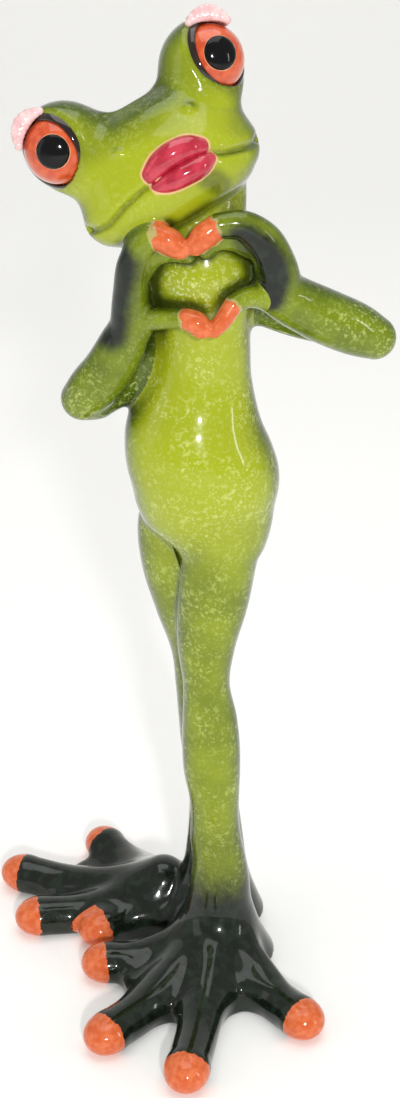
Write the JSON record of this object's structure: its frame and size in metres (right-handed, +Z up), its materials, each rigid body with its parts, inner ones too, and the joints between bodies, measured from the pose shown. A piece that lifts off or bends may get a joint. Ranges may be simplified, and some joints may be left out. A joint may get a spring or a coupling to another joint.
{
  "type": "frog figurine",
  "caption": "Slender standing frog ornament with webbed feet, raised eyes and hands that meet as a heart in front of its chest.",
  "frame": {"origin": "point on the floor under the left ankle, on the left foot's flat sole", "axes": "+Z up, the frog faces -Y, its own left side is +X"},
  "size_m": [0.1056, 0.1096, 0.2486],
  "materials": {
    "green_lacquer": "hand-painted yellow-green with pale speckle under a thick gloss lacquer",
    "dark_lacquer": "airbrushed green-black under gloss lacquer",
    "orange_lacquer": "brushed orange with a ragged edge under gloss lacquer",
    "eye_lacquer": "polished red-orange under gloss lacquer",
    "pupil_lacquer": "gloss black",
    "rim_lacquer": "gloss brown-black",
    "lip_lacquer": "crimson under gloss lacquer",
    "tuft_lacquer": "pale pink with white ridges"
  },
  "bodies": {
    "root": {"torso": "green_lacquer", "head": "green_lacquer", "leg_left": "green_lacquer", "leg_right": "green_lacquer", "foot_left": "dark_lacquer", "foot_right": "dark_lacquer", "toe_left_1": "dark_lacquer", "toe_left_2": "dark_lacquer", "toe_left_3": "dark_lacquer", "toe_left_4": "dark_lacquer", "toe_right_1": "dark_lacquer", "toe_right_2": "dark_lacquer", "toe_right_3": "dark_lacquer", "toe_right_4": "dark_lacquer", "toe_tip_left_1": "orange_lacquer", "toe_tip_left_2": "orange_lacquer", "toe_tip_left_3": "orange_lacquer", "toe_tip_left_4": "orange_lacquer", "toe_tip_right_1": "orange_lacquer", "toe_tip_right_2": "orange_lacquer", "toe_tip_right_3": "orange_lacquer", "toe_tip_right_4": "orange_lacquer", "eye_mound_left": "green_lacquer", "eye_mound_right": "green_lacquer", "eye_left": "eye_lacquer", "eye_right": "eye_lacquer", "eye_rim_left": "rim_lacquer", "eye_rim_right": "rim_lacquer", "pupil_left": "pupil_lacquer", "pupil_right": "pupil_lacquer", "brow_tuft_left": "tuft_lacquer", "brow_tuft_right": "tuft_lacquer", "upper_lip": "lip_lacquer", "lower_lip": "lip_lacquer", "upper_arm_left": "green_lacquer", "upper_arm_right": "green_lacquer", "forearm_left": "green_lacquer", "forearm_right": "green_lacquer", "hand_left": "green_lacquer", "hand_right": "green_lacquer", "index_tip_left": "orange_lacquer", "index_tip_right": "orange_lacquer", "thumb_left": "green_lacquer", "thumb_right": "green_lacquer", "thumb_tip_left": "orange_lacquer", "thumb_tip_right": "orange_lacquer", "middle_finger_left": "green_lacquer", "middle_finger_right": "green_lacquer"}
  },
  "joints": []
}
